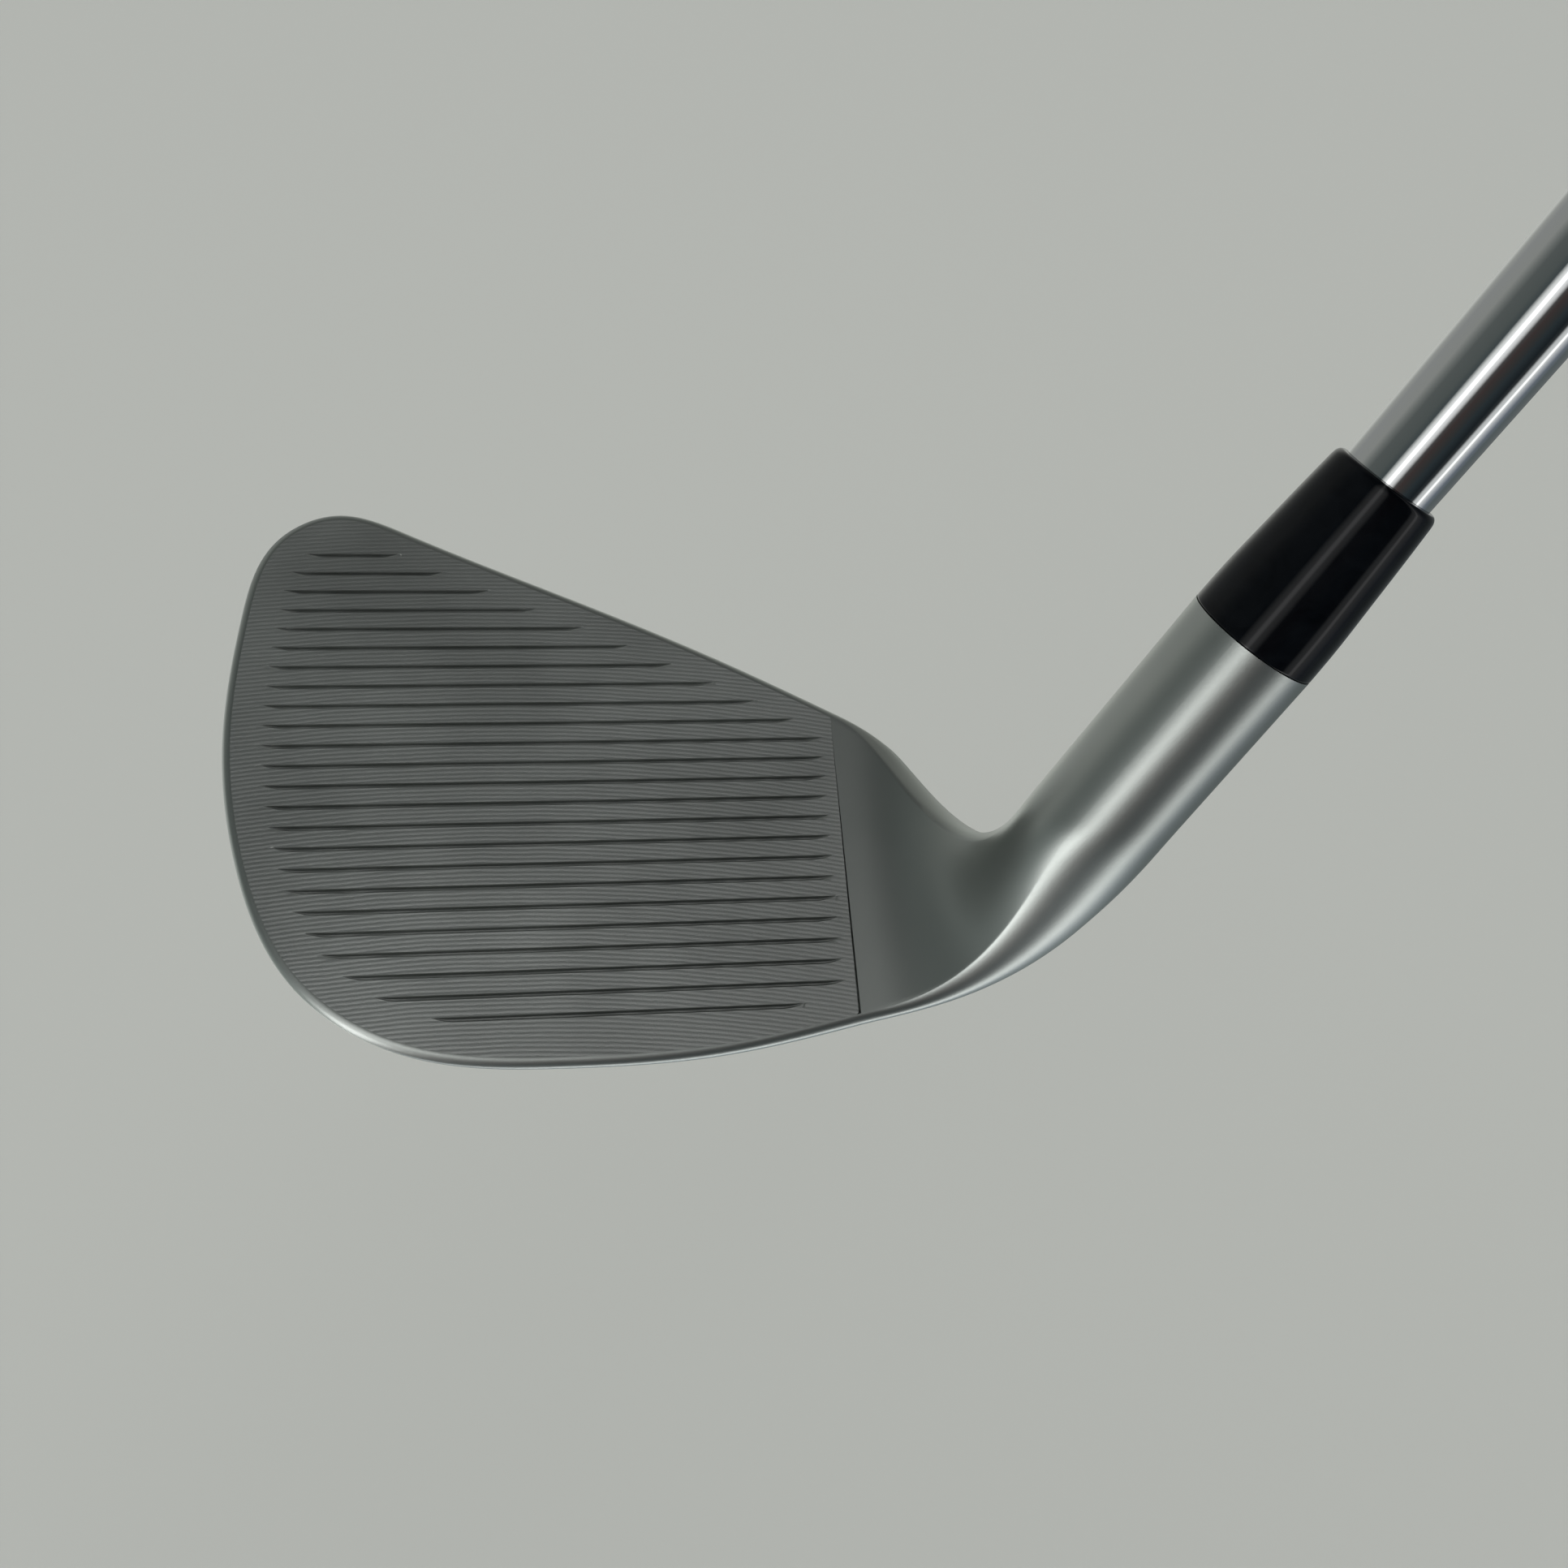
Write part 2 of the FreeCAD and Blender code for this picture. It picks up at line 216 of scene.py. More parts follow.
def side_at(side, u):
    """Height and outward direction of one side of the outline at each distance along the face."""
    line, way = outline[side], outward[side]
    columns = [np.interp(u, line[:, 0], values) for values in (line[:, 1], way[:, 0], way[:, 1])]
    return np.stack(columns, -1)


def back_depth(w):
    """Thickness behind the face at a height: a stepped back, its steps eased."""
    spread = np.linspace(-2.5, 2.5, 11)
    return np.mean([np.interp(w + shift, *BACK_AT) for shift in spread], axis=0)


def section_parts(u, top, low, eased, top_radius):
    """The closed section of the head at each u, as a list of its stretches.

    top and low give each side's height and outward direction. eased turns a height on this section into the
    height on the blade whose thickness it takes, and top_radius rounds the top edge. Each stretch is (points,
    angle at start, angle at end), and the angles say where on the hosel's circle the stretch ends up.
    """
    def share(count):
        """Even shares of a stretch, without its first point."""
        return np.linspace(0, 1, count + 1)[None, 1:]

    def at(side, inset, depth):
        """Points at a depth, drawn in from one side of the outline."""
        return np.stack([u + inset * -side[:, 1:2], side[:, :1] - inset * side[:, 2:3],
                         depth + 0 * u + 0 * inset], -1)

    thick = back_depth(eased(top[:, :1]))
    radius = np.minimum(top_radius, thick - BACK_EDGE - 0.3)
    face_low, face_top = at(low, RIM + 0 * u, 0), at(top, radius, 0)
    across = np.linspace(0, 1, FACE_COLUMNS)[None, :, None]
    turn = share(8) * math.pi / 2
    parts = [(face_low + (face_top - face_low) * across, 45, -26)]
    parts.append((at(top, radius * (1 - np.sin(turn)), radius * (1 - np.cos(turn))), -26, -66))
    parts.append((at(top, 0 * share(5), radius + (thick - BACK_EDGE - radius) * share(5)), -66, -78))
    parts.append((at(top, BACK_EDGE * (1 - np.cos(turn)), thick - BACK_EDGE * (1 - np.sin(turn))), -78, -84))

    # The sole runs back until it meets the back, at a distance found by closing in on it.
    run = np.full_like(u, 20.0)
    for _ in range(30):
        run = 0.5 * run + 0.5 * (back_depth(eased(low[:, :1] + SOLE_RISE * run)) - RIM) / SOLE_DEPTH
    back_w = low[:, :1] + SOLE_RISE * run
    start_w = top[:, :1] - BACK_EDGE * top[:, 2:3]
    heights = start_w + (back_w - start_w) * share(44)
    start_u = u - BACK_EDGE * top[:, 1:2]
    back_u = start_u + (u - start_u) * share(44)
    parts.append((np.stack([back_u, heights, back_depth(eased(heights))], -1), -84, -125))
    sole_run = run * (1 - share(30))
    sole_w, sole_d = low[:, :1] + SOLE_RISE * sole_run, RIM + SOLE_DEPTH * sole_run
    parts.append((np.stack([u + 0 * sole_run, sole_w, sole_d], -1), -125, -238))
    turn = share(18) * math.pi / 2
    parts.append((at(low, RIM * (1 - np.cos(turn)), RIM * (1 - np.sin(turn)))[:, :-1], -238, -315))
    return parts


def join(parts):
    """The stretches end to end, the corner of sole and back rounded, and each column's angle in degrees."""
    points = np.concatenate([stretch for stretch, _, _ in parts], 1)
    angles = np.concatenate([np.linspace(first, last, stretch.shape[1] + 1)[1:]
                             for stretch, first, last in parts])
    corner = sum(stretch.shape[1] for stretch, _, _ in parts[:5]) - 1
    near = np.exp(-((np.arange(points.shape[1]) - corner) / 4.0) ** 2)[None, :, None]
    for _ in range(16):
        points = points + near * (0.5 * np.roll(points, 1, 1) + 0.5 * np.roll(points, -1, 1) - points)
    return points, angles


def blade_rows():
    """Sections from the toe to the heel line, closer together where the toe curves round."""
    turn = np.linspace(0, math.pi / 2, 90)
    u = (outline[toe_at, 0] + (HEEL_U - outline[toe_at, 0]) * (1 - np.cos(turn)))[:, None]
    top, low = side_at(top_side, u[:, 0]), side_at(low_side, u[:, 0])
    return join(section_parts(u, top, low, lambda w: w, RIM))


def heel_rows():
    """Sections that turn from the blade at the heel line into the hosel's circle.

    Each point moves from its place on the blade's section, carried on towards the hosel, to its angle on the
    circle. Points on the toe side get there first, which makes the valley beside the face. Points of the top
    edge stay on the blade's line and reach the circle last, behind the hosel, which makes the tight throat.
    """
    turn = np.linspace(0, 1, 80)[:, None]
    first_top, first_low = (side_at(side, np.array([HEEL_U]))[0] for side in (top_side, low_side))
    fall, rise = HEEL_FALL * turn + HEEL_CURL * turn ** 2, HEEL_RISE * turn
    top = first_top - fall * [1, 0, 0]
    low = first_low + rise * [1, 0, 0]
    scale = (first_top[0] - first_low[0]) / (top[:, :1] - low[:, :1])
    points, angles = join(section_parts(HEEL_U + HEEL_REACH * turn, top, low,
                                        lambda w: first_low[0] + (w - low[:, :1]) * scale,
                                        RIM + CROWN_GROWTH * smooth((turn - 0.03) * 2)))
    # Each share is of the way from the heel line to the end of the turn, by the angle on the hosel.
    behind = smooth((-angles - 34) / 20) * (1 - smooth((-angles - 84) / 60))
    toe_side = (0.5 * (1 + np.cos(np.radians(angles + 15)))) ** 2
    sooner = (0.05 + 0.24 * toe_side) * (1 - behind) + 0.66 * behind
    part = smooth((turn - 0.2 * behind) / (1 - sooner))[..., None]
    height = (AXIS_TO_FACE + (HEEL_TURN_END - AXIS_TO_FACE) * turn)[..., None]
    angles = np.radians(angles)
    return in_frame(points) * (1 - part) + on_hosel(height, angles, HOSEL_RADIUS) * part, angles


def on_hosel(height, angle, radius):
    """Points round the shaft's axis: angle 0 faces the toe side and a right angle faces the front."""
    angle = np.asarray(angle)[..., None]
    return height * SHAFT_AXIS + radius * (np.cos(angle) * TOE_SIDE + np.sin(angle) * FRONT)


def head_grid():
    """The blade's rows with a seat sunk for the milled face, the heel's rows and the straight hosel."""
    blade, _ = blade_rows()
    sunk = blade[:, 1:FACE_COLUMNS - 1].copy()
    sunk[..., 2] += SEAT_DEPTH
    blade = in_frame(np.concatenate([blade[:, :1], sunk, blade[:, FACE_COLUMNS - 1:]], 1))
    heel, angles = heel_rows()
    straight = np.linspace(HEEL_TURN_END, HOSEL_TOP, 14)[1:, None, None]
    hosel = on_hosel(straight, angles[None, :], HOSEL_RADIUS)
    return np.concatenate([blade, heel, hosel], 0)


def cavity_outline():
    """The back pocket's outline, each corner turned as an arc of one radius."""
    corners = np.array(CAVITY_OUTLINE, float)
    points = []
    for before, corner, after in zip(np.roll(corners, 1, 0), corners, np.roll(corners, -1, 0)):
        ways = [(end - corner) / np.linalg.norm(end - corner) for end in (before, after)]
        half = 0.5 * math.acos(np.dot(*ways))
        reach = CAVITY_CORNER / math.tan(half)
        middle = corner + sum(ways) / np.linalg.norm(sum(ways)) * CAVITY_CORNER / math.sin(half)
        first, last = (corner + way * reach - middle for way in ways)
        sweep = math.pi - 2 * half
        for share in np.linspace(0, 1, 9):
            points.append(middle + (first * math.sin((1 - share) * sweep)
                                    + last * math.sin(share * sweep)) / math.sin(sweep))
    return np.array(points)


def cut_cavity(head):
    """Takes the back pocket out of the head: a prism on the rounded outline, from its floor past the back."""
    ring = cavity_outline()
    count = len(ring)
    levels = [np.column_stack([ring, np.full(count, depth)]) for depth in (CAVITY_FLOOR, CUTTER_END)]
    faces = [[i, (i + 1) % count, count + (i + 1) % count, count + i] for i in range(count)]
    mesh = bpy.data.meshes.new("cavity_cutter")
    mesh.from_pydata((in_frame(np.concatenate(levels)) * MM).tolist(), [],
                     faces + [list(range(count)), list(range(count, 2 * count))])
    skin = bmesh.new()
    skin.from_mesh(mesh)
    bmesh.ops.recalc_face_normals(skin, faces=skin.faces)
    skin.to_mesh(mesh)
    skin.free()
    cutter = bpy.data.objects.new("cavity_cutter", mesh)
    bpy.context.scene.collection.objects.link(cutter)
    cut = head.modifiers.new("cavity", "BOOLEAN")
    cut.operation, cut.solver, cut.object = "DIFFERENCE", "EXACT", cutter
    done = bpy.data.meshes.new_from_object(head.evaluated_get(bpy.context.evaluated_depsgraph_get()))
    head.modifiers.clear()
    head.data = done
    done.shade_smooth()
    done.set_sharp_from_angle(angle=SHARP)
    bpy.data.objects.remove(cutter)


def face_grid():
    """The milled face and, at each point, how much painted shade its groove gets: the cut's depth, turned
    negative on a groove's lower lip for a painted highlight.

    Lines run from toe to heel at constant height, closest together at the grooves. A groove's section has
    sloping sides and a flat floor, and towards each end it narrows to its upper edge and gets shallower.
    """
    inner = outline - outward * RIM
    half_profile = np.array([GROOVE_FLOOR, 0.21, GROOVE_HALF, 0.40, 0.55])
    profile = np.concatenate([-half_profile[::-1], [0], half_profile])
    between = GROOVE_PITCH * np.array([0.3, 0.4, 0.5, 0.6, 0.7])
    centres = GROOVE_TOP - GROOVE_PITCH * np.arange(GROOVES)
    low, high = inner[:, 1].min(), inner[:, 1].max()
    ends = np.linspace(0, 1, 34) ** 2
    heights = np.concatenate([(centres[:, None] + profile).ravel(), low + (centres[-1] - 1 - low) * ends,
                              high - (high - centres[0] - 1) * ends,
                              (centres[:-1, None] - between).ravel()])
    heights = np.unique(np.round(heights, 4))
    peak, trough = int(np.argmax(inner[:, 1])), int(np.argmin(inner[:, 1]))

    def span(line, w, heel_limit):
        """Where each height meets a closed line at the toe and at the heel, cut off at the heel's limit."""
        toe = np.interp(w, line[trough:peak:-1, 1], line[trough:peak:-1, 0])
        heel_top = np.interp(w, line[:peak + 1, 1], line[:peak + 1, 0])
        heel_low = np.interp(-w, -line[trough:, 1][::-1], line[trough:, 0][::-1])
        heel = np.minimum(np.minimum(heel_top, heel_low), heel_limit)
        return toe, np.maximum(heel, toe)

    toe, heel = span(inner, heights, HEEL_U)
    along = np.linspace(0, 1, 260)[:, None]
    u = toe + (heel - toe) * along
    nearest = centres[np.argmin(np.abs(heights[:, None] - centres), 1)]
    groove_toe = span(outline - outward * TOE_MARGIN, nearest, GROOVE_HEEL_U)[0]
    groove_heel = span(outline - outward * TOP_MARGIN, nearest, GROOVE_HEEL_U)[1]
    off = heights - nearest
    inside = np.minimum(u - groove_toe, groove_heel - u) / RUN_OUT
    full = 1 - (1 - np.clip(inside, 0, 1)) ** 2
    narrow = NARROWEST + (1 - NARROWEST) * np.where(inside > 0, full, smooth(-inside * RUN_OUT / RELAX))
    w = np.where(np.abs(off) <= GROOVE_HALF, nearest + GROOVE_HALF - (GROOVE_HALF - off) * narrow, heights)
    cut = np.clip((GROOVE_HALF - np.abs(off)) / (GROOVE_HALF - GROOVE_FLOOR), 0, 1) * full
    # The cut drives painted shade on a groove's walls and floor, and its negative on the lower lip drives a
    # painted highlight.
    return in_frame(np.stack([u, w, GROOVE_DEPTH * cut], -1)), np.where(off > LOW_LIP, cut, -cut)


# ---------------------------------------------------------------- turned pieces

def turned(name, profile, node, material, around=144, relief=None, caps=(True, True)):
    """A profile of (radius, height) carried round the shaft's axis, with an optional relief on its radius."""
    profile = np.asarray(profile, float)
    angle = np.linspace(0, 2 * math.pi, around, endpoint=False)
    radius = np.repeat(profile[:, :1], around, 1)
    if relief is not None:
        radius = radius + relief(profile[:, 1:2], angle[None, :])
    grid = on_hosel(profile[:, 1:2, None], angle[None, :], radius[..., None])
    return piece(name, grid, node, material, caps=caps)


def rounded(corners, radius, steps=6):
    """The corners of an open profile, each inner one replaced by a small curve."""
    corners = np.asarray(corners, float)
    line = [corners[:1]]
    t = np.linspace(0, 1, steps)[:, None]
    for before, corner, after in zip(corners[:-2], corners[1:-1], corners[2:]):
        back, on = before - corner, after - corner
        reach = min(radius, 0.45 * np.linalg.norm(back), 0.45 * np.linalg.norm(on))
        first = corner + back / np.linalg.norm(back) * reach
        last = corner + on / np.linalg.norm(on) * reach
        line.append((1 - t) ** 2 * first + 2 * t * (1 - t) * corner + t ** 2 * last)
    return np.concatenate(line + [corners[-1:]])


def tip_radius(height):
    """The shaft's outside below its first step, a straight taper."""
    return TIP_RADIUS + TIP_TAPER * (height - TIP)


# ---------------------------------------------------------------- materials
# A noise's scale is its grains to the metre, so 4200 is a grain of 0.24 mm.

def add(tree, kind, inputs=None, stops=(), **settings):
    """A node with its settings. An input is a value or another node's output, and stops fill a ramp."""
    made = tree.nodes.new("ShaderNode" + kind)
    for key, value in settings.items():
        setattr(made, key, value)
    for key, value in (inputs or {}).items():
        if isinstance(value, bpy.types.NodeSocket):
            tree.links.new(value, made.inputs[key])
        else:
            made.inputs[key].default_value = value
    for _ in stops[2:]:
        made.color_ramp.elements.new(0.5)
    for element, (place, colour) in zip(made.color_ramp.elements if stops else (), stops):
        element.position = place
        element.color = colour
    return made


def material(name):
    """A new material with its tree, its shader and the places on the piece."""
    made = bpy.data.materials.new(name)
    made.use_nodes = True
    tree = made.node_tree
    shader = tree.nodes["Principled BSDF"]
    place = add(tree, "TexCoord").outputs["Object"]
    return made, tree, shader, place


def satin_steel():
    """Cast steel, bead blasted and plated: a soft pearly sheen with a grain just fine enough to see."""
    made, tree, shader, place = material("blasted_satin_plated_steel")
    grain = add(tree, "TexNoise", {"Vector": place, "Scale": 4200.0, "Detail": 2.0})
    cloud = add(tree, "TexNoise", {"Vector": place, "Scale": 60.0, "Detail": 3.0})
    shader.inputs["Metallic"].default_value = 1.0
    tint = add(tree, "ValToRGB", {"Fac": cloud.outputs["Fac"]},
               stops=[(0.3, linear("#AFB4B0")), (0.7, linear("#B7BBB7"))])
    tree.links.new(tint.outputs["Color"], shader.inputs["Base Color"])
    rough = add(tree, "MapRange", {"Value": grain.outputs["Fac"], "To Min": 0.32, "To Max": 0.39})
    tree.links.new(rough.outputs["Result"], shader.inputs["Roughness"])
    bump = add(tree, "Bump", {"Height": grain.outputs["Fac"], "Strength": 0.10, "Distance": 0.00005})
    tree.links.new(bump.outputs["Normal"], shader.inputs["Normal"])
    return made


def milled_steel():
    """The face after fly cutting: dull grey steel with fine arcs from the cutter, with painted shade
    darkening the grooves and a painted highlight on each groove's lower lip.
    """
    made, tree, shader, place = material("fly_cut_milled_steel")
    shader.inputs["Metallic"].default_value = 1.0
    cut = add(tree, "Attribute", attribute_name="cut").outputs["Fac"]
    across = add(tree, "VectorMath", {0: place, 1: ARC_CENTRE}, operation="DISTANCE").outputs["Value"]
    wobble = add(tree, "TexNoise", {"Vector": place, "Scale": 120.0, "Detail": 2.0}).outputs["Fac"]
    shifted = add(tree, "Math", {0: wobble, 1: 0.0004, 2: across}, operation="MULTIPLY_ADD").outputs["Value"]
    phase = add(tree, "Math", {0: shifted, 1: 2 * math.pi / ARC_PITCH}, operation="MULTIPLY").outputs["Value"]
    wave = add(tree, "Math", {0: phase}, operation="SINE").outputs["Value"]
    cloud = add(tree, "TexNoise", {"Vector": place, "Scale": 45.0, "Detail": 3.0}).outputs["Fac"]
    # The cut, mapped so that the flat face sits at the middle, puts painted shade in the grooves and a
    # painted highlight on their lower lips.
    depth = add(tree, "MapRange", {"Value": cut, "From Min": -1.0, "From Max": 1.0}).outputs["Result"]
    arcs_and_painted_groove_light = add(tree, "Math", {0: wave, 1: 0.012, 2: depth}, operation="MULTIPLY_ADD").outputs["Value"]
    # Painted light in this ramp: the white at its start is the lower lips' painted highlight, and the dark
    # stops past the middle are the grooves' painted shade.
    tint = add(tree, "ValToRGB", {"Fac": arcs_and_painted_groove_light},
               stops=[(0.0, linear("#FFFFFF")), (0.3, linear("#E0E2E0")), (0.44, linear("#D4D7D4")),
                      (0.56, linear("#C4C7C4")), (0.68, linear("#A6A9A6")), (0.95, linear("#A0A3A0"))])
    shade = add(tree, "ValToRGB", {"Fac": cloud}, stops=[(0.3, linear("#E2E2E2")), (0.65, linear("#FFFFFF"))])
    blended = add(tree, "Mix", {0: 1.0, 6: tint.outputs["Color"], 7: shade.outputs["Color"]},
                  data_type="RGBA", blend_type="MULTIPLY")
    tree.links.new(blended.outputs[2], shader.inputs["Base Color"])
    grain = add(tree, "TexNoise", {"Vector": place, "Scale": 5000.0, "Detail": 2.0}).outputs["Fac"]
    height = add(tree, "Math", {0: wave, 1: 0.35, 2: grain}, operation="MULTIPLY_ADD").outputs["Value"]
    bump = add(tree, "Bump", {"Height": height, "Strength": 0.6, "Distance": 0.00003})
    tree.links.new(bump.outputs["Normal"], shader.inputs["Normal"])
    rough = add(tree, "MapRange", {"Value": wave, "From Min": -1.0, "To Min": 0.38, "To Max": 0.48})
    tree.links.new(rough.outputs["Result"], shader.inputs["Roughness"])
    return made


def chrome():
    """Plated and buffed steel tube: a mirror with the faintest lengthwise polishing lines and orange peel."""
    made, tree, shader, place = material("buffed_chrome_plate")
    shader.inputs["Metallic"].default_value = 1.0
    shader.inputs["Base Color"].default_value = linear("#D6D8D8")
    along = add(tree, "Mapping", {"Vector": place, "Rotation": (0, math.pi / 2 - LIE, 0),
                                  "Scale": (1, 1, 0.03)}).outputs["Vector"]
    lines = add(tree, "TexNoise", {"Vector": along, "Scale": 3500.0, "Detail": 2.0}).outputs["Fac"]
    peel = add(tree, "TexNoise", {"Vector": place, "Scale": 260.0, "Detail": 1.0}).outputs["Fac"]
    rough = add(tree, "MapRange", {"Value": lines, "To Min": 0.03, "To Max": 0.09}).outputs["Result"]
    tree.links.new(rough, shader.inputs["Roughness"])
    height = add(tree, "Math", {0: lines, 1: 0.05, 2: peel}, operation="MULTIPLY_ADD").outputs["Value"]
    bump = add(tree, "Bump", {"Height": height, "Strength": 0.12, "Distance": 0.00005}).outputs["Normal"]
    tree.links.new(bump, shader.inputs["Normal"])
    return made


def polished_plastic():
    """Turned and solvent-polished cellulose: deep black with a wet gloss and a few dull wiping marks."""
    made, tree, shader, place = material("polished_black_cellulose")
    shader.inputs["Specular IOR Level"].default_value = 0.2
    wipe = add(tree, "TexNoise", {"Vector": place, "Scale": 220.0, "Detail": 4.0,
                                  "Distortion": 1.5}).outputs["Fac"]
    tint = add(tree, "ValToRGB", {"Fac": wipe}, stops=[(0.35, linear("#030406")), (0.75, linear("#090B0E"))])
    tree.links.new(tint.outputs["Color"], shader.inputs["Base Color"])
    rough = add(tree, "MapRange", {"Value": wipe, "From Min": 0.3, "From Max": 0.7,
                                   "To Min": 0.03, "To Max": 0.06})
    tree.links.new(rough.outputs["Result"], shader.inputs["Roughness"])
    return made


def grainy(name, colours, grain_mm, roughness, depth_mm, metallic=0.0, stretch=(1, 1, 1)):
    """A surface with an even grain of a real size, which mixes two colours and drives sheen and relief."""
    made, tree, shader, place = material(name)
    shader.inputs["Metallic"].default_value = metallic
    spread = add(tree, "Mapping", {"Vector": place, "Scale": stretch}).outputs["Vector"]
    grain = add(tree, "TexNoise", {"Vector": spread, "Scale": 1 / (grain_mm * MM),
                                   "Detail": 3.0}).outputs["Fac"]
    tint = add(tree, "ValToRGB", {"Fac": grain},
               stops=[(0.35, linear(colours[0])), (0.65, linear(colours[1]))])
    tree.links.new(tint.outputs["Color"], shader.inputs["Base Color"])
    rough = add(tree, "MapRange", {"Value": grain, "From Min": 0.3, "From Max": 0.7,
                                   "To Min": roughness - 0.05, "To Max": roughness + 0.05}).outputs["Result"]
    tree.links.new(rough, shader.inputs["Roughness"])
    bump = add(tree, "Bump", {"Height": grain, "Strength": 0.6, "Distance": depth_mm * MM}).outputs["Normal"]
    tree.links.new(bump, shader.inputs["Normal"])
    return made


steel = satin_steel()
milled = milled_steel()
plated = chrome()
black = polished_plastic()
# Moulded natural rubber is nearly black and matt; the cap's smoother rubber has a little more sheen.
grip_rubber = grainy("moulded_natural_rubber", ("#1D1E1F", "#2A2B2B"), 0.8, 0.72, 0.05)
cap_rubber = grainy("smooth_moulded_rubber", ("#191A1A", "#222323"), 1.5, 0.55, 0.02)
# Each CAD node that stays takes a finish: anodised and lengthwise brushed plate, soft foam rubber, cured
# glue, sawn brass, printed film and paper tape.
NODE_FINISH = {
    "cavity_badge": grainy("brushed_anodised_aluminium", ("#A9ABAC", "#B8BABB"), 0.6, 0.34, 0.01, 1.0,
                           (0.05, 1, 1)),
    "cavity_pad": grainy("moulded_damping_elastomer", ("#1B1C1D", "#262728"), 1.0, 0.7, 0.03),
    "hosel_glue": grainy("cured_epoxy", ("#8C7A4E", "#9C8A5C"), 2.0, 0.35, 0.02),
    "tip_plug": grainy("sawn_brass", ("#A98A4A", "#B99A58"), 0.5, 0.4, 0.02, 1.0),
    "shaft_band": grainy("matt_printed_film", ("#2C3033", "#343A3E"), 1.2, 0.5, 0.01),
    "grip_tape": grainy("paper_grip_tape", ("#B9A98A", "#CBBB9C"), 1.0, 0.8, 0.05),
}

# ---------------------------------------------------------------- the club

head = piece("head_skin", head_grid(), "head_body", steel)
cut_cavity(head)
milled_grid, groove_shade_and_lip_highlight = face_grid()
piece("milled_face", milled_grid, "head_body", milled, wrap=False, caps=(False, False),
      value=("cut", groove_shade_and_lip_highlight))

rise = FERRULE_TOP - HOSEL_TOP
# Radius of the ferrule's outside at each share of its height
ferrule_curve = [(HOSEL_RADIUS, 0), (6.72, 0.22), (6.4, 0.47), (6.08, 0.71), (5.72, 0.95)]
ferrule_line = spline([(radius, HOSEL_TOP + share * rise) for radius, share in ferrule_curve], 30)
ferrule_lip = [(5.62, FERRULE_TOP - 0.4), (5.3, FERRULE_TOP), (tip_radius(FERRULE_TOP) + 0.03, FERRULE_TOP)]
ferrule_profile = np.concatenate([[(5.0, HOSEL_TOP)], ferrule_line, ferrule_lip])
turned("ferrule_collar", rounded(ferrule_profile, 0.35), "ferrule", black)

shaft_line = [(4.3, SHAFT_LOW), (tip_radius(SHAFT_LOW), SHAFT_LOW), (tip_radius(FIRST_STEP), FIRST_STEP)]
step_rise = (BUTT_RADIUS - tip_radius(FIRST_STEP)) / STEPS
for step in range(1, STEPS + 1):
    radius, start = tip_radius(FIRST_STEP) + step * step_rise, FIRST_STEP + (step - 1) * STEP_PITCH
    end = start + STEP_PITCH if step < STEPS else BUTT
    shaft_line += [(radius, start + 0.5), (radius, end)]
turned("stepped_shaft", rounded(shaft_line, 0.3, 4), "shaft", plated)


def diamonds(height, angle):
    """Crossed spirals of shallow channels, each along the crests of a wave that winds round the grip.

    The pattern fades out in plain collars at both ends.
    """
    first = np.cos(DIAMOND_TURNS * angle + 2 * math.pi * height / DIAMOND_PITCH)
    second = np.cos(DIAMOND_TURNS * angle - 2 * math.pi * height / DIAMOND_PITCH)
    channel = np.maximum(smooth((first - 0.55) / 0.4), smooth((second - 0.55) / 0.4))
    plain = smooth((height - GRIP_LOW - 10) / 4) * smooth((GRIP_TOP - 12 - height) / 4)
    return -DIAMOND_DEPTH * channel * plain


# The grip's taper: height above its mouth, radius
grip_length = GRIP_TOP - GRIP_LOW
GRIP_TAPER = [(0, 8.4), (1.2, 8.9), (3, 8.9), (60, 9.4), (110, 10), (165, 11), (215, 12.1),
              (grip_length, CAP_RADIUS)]
grip_heights = np.linspace(1.2, grip_length, 330)
grip_radii = np.interp(grip_heights, *zip(*GRIP_TAPER))
grip_mouth = [(7.7, GRIP_LOW), (8.4, GRIP_LOW), (8.75, GRIP_LOW + 0.5)]
grip_sleeve = np.stack([grip_radii, GRIP_LOW + grip_heights], -1)
grip_skin = np.concatenate([grip_mouth, grip_sleeve, [(12.9, GRIP_TOP)]])
turned("textured_grip", grip_skin, "grip", grip_rubber, around=168, relief=diamonds)

cap_line = [(CAP_BORE, GRIP_TOP + 1), (CAP_BORE, GRIP_TOP + 0.02), (CAP_RADIUS, GRIP_TOP + 0.02),
            (CAP_RADIUS, CLUB_LENGTH - 1.8), (12.9, CLUB_LENGTH - 0.6), (11.9, CLUB_LENGTH),
            (VENT_RADIUS, CLUB_LENGTH), (VENT_RADIUS, GRIP_TOP + 3), (CAP_BORE, GRIP_TOP + 3),
            (CAP_BORE, GRIP_TOP + 1)]
turned("vented_end_cap", rounded(cap_line, 0.4), "grip_cap", cap_rubber, caps=(False, False))

for node, finish in NODE_FINISH.items():
    for slot in bpy.data.objects[node].material_slots:
        slot.material = finish

# ---------------------------------------------------------------- stage, camera and light

daylight = bpy.data.lights.new("soft_overhead_light", "SUN")
daylight.energy = FLOOR_LIGHT
daylight.angle = math.radians(70)
overhead = bpy.data.objects.new("soft_overhead_light", daylight)
overhead.rotation_euler = (math.radians(20), math.radians(-12), 0)
overhead.visible_glossy = False
bpy.context.scene.collection.objects.link(overhead)

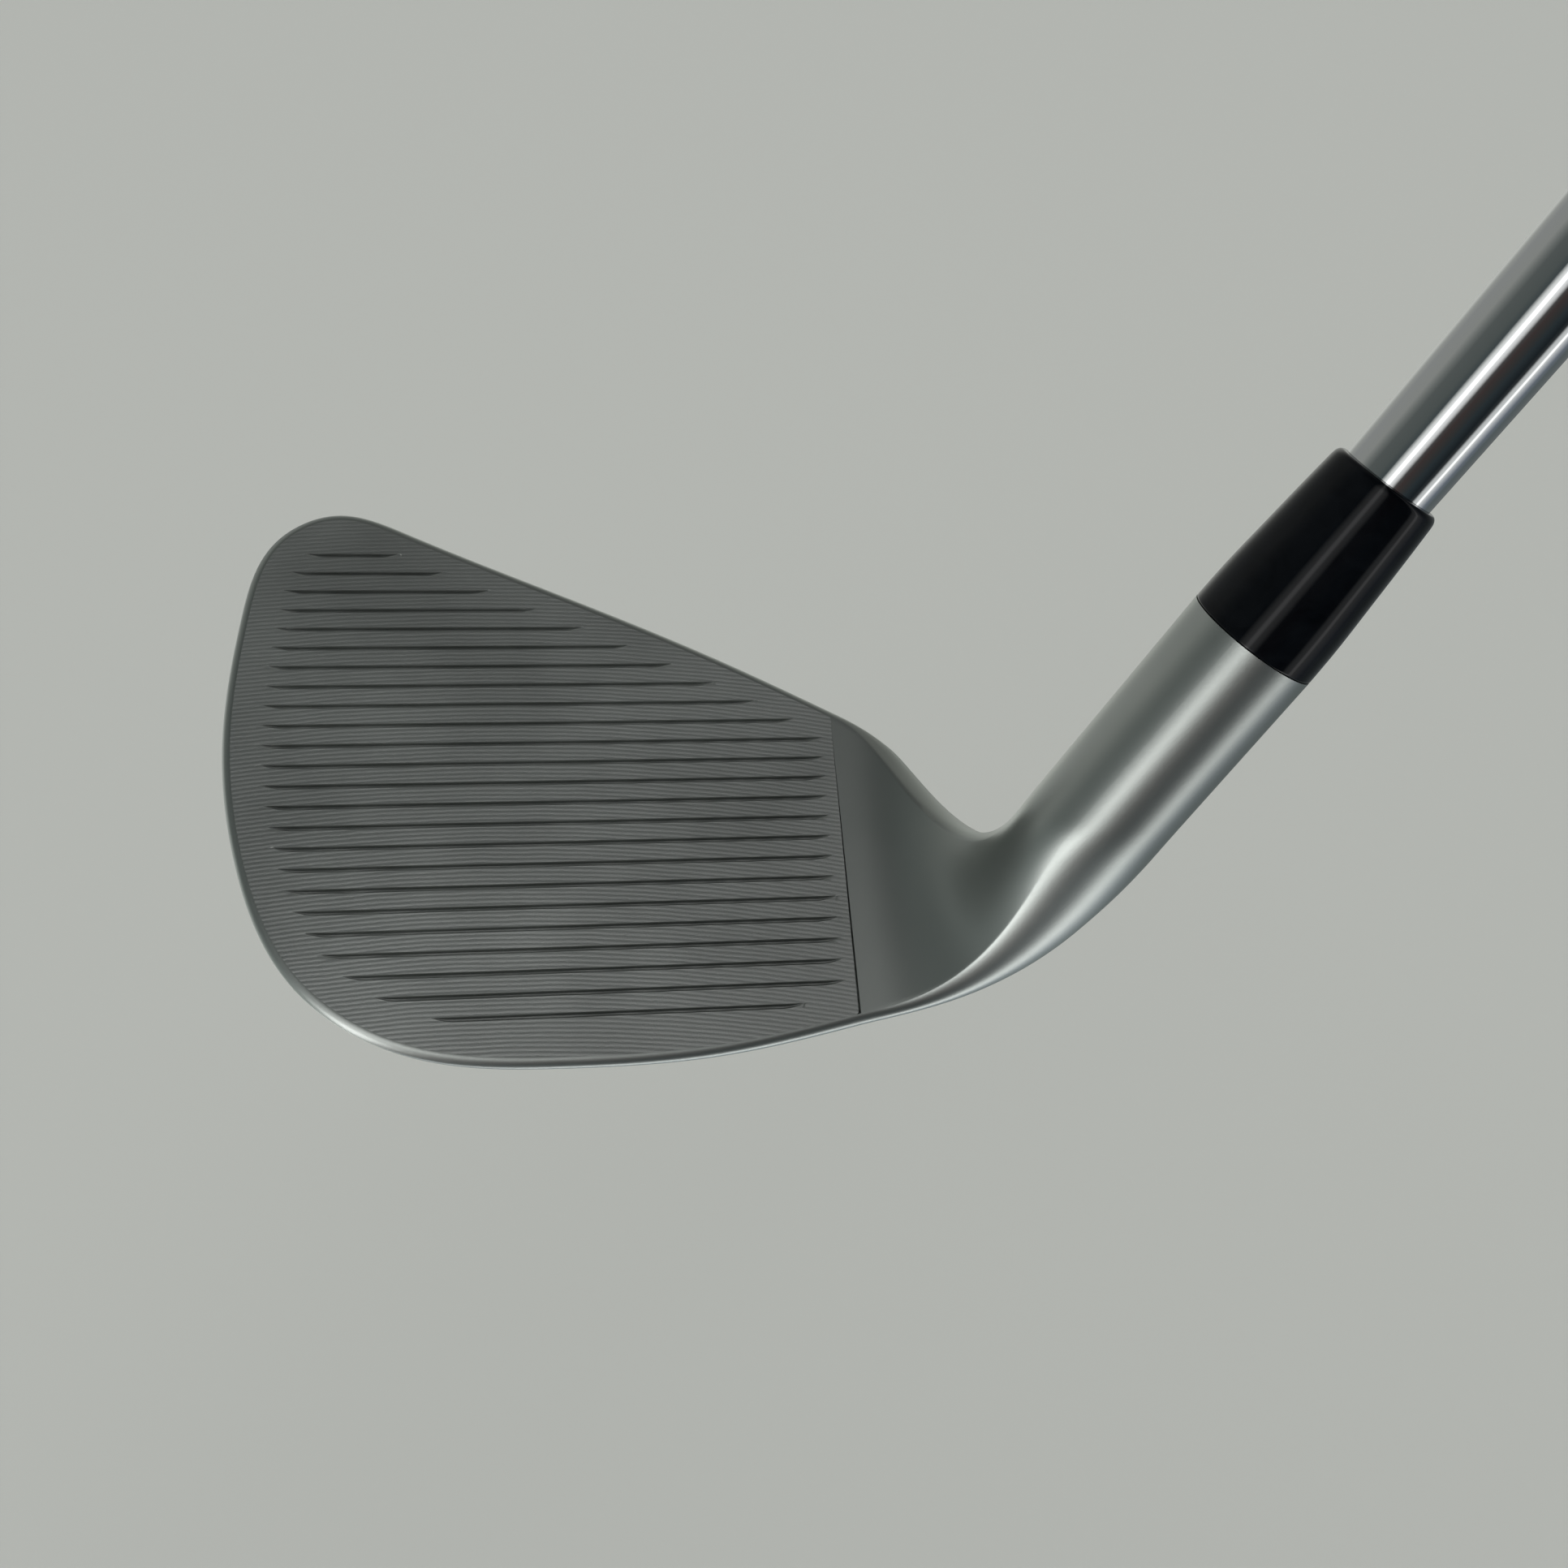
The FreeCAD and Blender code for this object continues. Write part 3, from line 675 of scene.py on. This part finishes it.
floor_mesh = bpy.data.meshes.new("floor")
floor_mesh.from_pydata([(-6, -4, FLOOR), (6, -4, FLOOR), (6, 9, FLOOR), (-6, 9, FLOOR)], [], [(0, 1, 2, 3)])
floor = bpy.data.objects.new("floor", floor_mesh)
bpy.context.scene.collection.objects.link(floor)
floor.visible_glossy = False
floor.visible_shadow = False
floor_paint = bpy.data.materials.new("pale_floor")
floor_paint.use_nodes = True
paint = floor_paint.node_tree.nodes["Principled BSDF"].inputs
paint["Base Color"].default_value = linear("#C4C6C1")
paint["Roughness"].default_value = 0.9
floor_mesh.materials.append(floor_paint)

# The room as the metal sees it: a pale floor, a dim room and two strip lights. Each stop is an angle in
# degrees round the shaft's axis, from the toe side towards the front, a colour and a gain on it.
ROOM = [(-180, "#60686A", 1.0), (-135, "#6C7070", 1.0), (-122, "#B8BAB5", 1.0), (-95, "#CED0CB", 1.0),
        (-78, "#A6A8A4", 1.0), (-60, "#979998", 1.0), (-27, "#979996", 1.0), (-12, "#787C7A", 1.0),
        (0, "#5E6362", 1.0), (25, "#585E5D", 1.0), (38, "#485052", 1.0), (45, "#E8EAE8", 1.0),
        (50, "#FFFFFF", 1.05), (53, "#FFFFFF", 2.3), (57, "#FFFFFF", 2.3), (60, "#FFFFFF", 1.05),
        (66, "#E0E0E0", 1.0), (72, "#4C4A4A", 1.0), (80, "#443B3A", 1.0), (92, "#3A3A3A", 1.0),
        (102, "#30383C", 1.0), (118, "#20262A", 1.0), (127, "#363A3C", 1.0), (132, "#D0D2D2", 1.0),
        (140, "#E4E6E6", 1.0), (142, "#FFFFFF", 1.6), (146, "#FFFFFF", 1.6), (148, "#E4E6E6", 1.0),
        (156, "#B4B8BE", 1.0), (166, "#727A84", 1.0), (180, "#60686A", 1.0)]


def studio():
    """A world whose light goes by the angle round the shaft's axis, and dims from below to overhead."""
    made = bpy.data.worlds.new("studio")
    made.use_nodes = True
    tree = made.node_tree
    way = add(tree, "TexCoord").outputs["Generated"]
    towards_toe = add(tree, "VectorMath", {0: way, 1: TOE_SIDE}, operation="DOT_PRODUCT").outputs["Value"]
    towards_front = add(tree, "VectorMath", {0: way, 1: FRONT}, operation="DOT_PRODUCT").outputs["Value"]
    angle = add(tree, "Math", {0: towards_front, 1: towards_toe}, operation="ARCTAN2").outputs["Value"]
    turn = add(tree, "MapRange", {"Value": angle, "From Min": -math.pi,
                                  "From Max": math.pi}).outputs["Result"]
    stops = [((degrees + 180) / 360, tuple(gain * part for part in linear(code)[:3]) + (1.0,))
             for degrees, code, gain in ROOM]
    room = add(tree, "ValToRGB", {"Fac": turn}, stops=stops).outputs["Color"]
    tree.links.new(room, tree.nodes["Background"].inputs["Color"])
    along = add(tree, "VectorMath", {0: way, 1: SHAFT_AXIS}, operation="DOT_PRODUCT").outputs["Value"]
    height = add(tree, "MapRange", {"Value": along, "From Min": -1.0}).outputs["Result"]
    # A ramp's colours are kept under 1, so they hold a quarter of the strength.
    below, level, high = ((value / 4,) * 3 + (1.0,) for value in (BELOW_LIGHT, ROOM_LIGHT, CEILING_LIGHT))
    dimming = add(tree, "ValToRGB", {"Fac": height}, stops=[(0.25, below), (0.38, level), (0.67, level),
                                                            (0.9, high)]).outputs["Color"]
    strength = add(tree, "Math", {0: dimming, 1: 4.0}, operation="MULTIPLY").outputs["Value"]
    tree.links.new(strength, tree.nodes["Background"].inputs["Strength"])
    return made


bpy.context.scene.world = studio()

camera = bpy.data.cameras.new("camera")
camera.lens = 36.75
camera.sensor_width = 36.0
camera.clip_start = 0.01
eye = bpy.data.objects.new("camera", camera)
look = Vector((0.15590, 0.82135, -0.54870)).normalized()
above = Vector((0.01820, 0.55301, 0.83298))
above = (above - look * above.dot(look)).normalized()
turn = Matrix((look.cross(above), above, -look)).transposed()
stand = (Vector(FACE_ORIGIN) + Vector((-46.51, -129.21, 110.99))) * MM
eye.matrix_world = Matrix.Translation(stand) @ turn.to_4x4()
bpy.context.scene.collection.objects.link(eye)
bpy.context.scene.camera = eye
bpy.context.scene.view_settings.view_transform = "Standard"
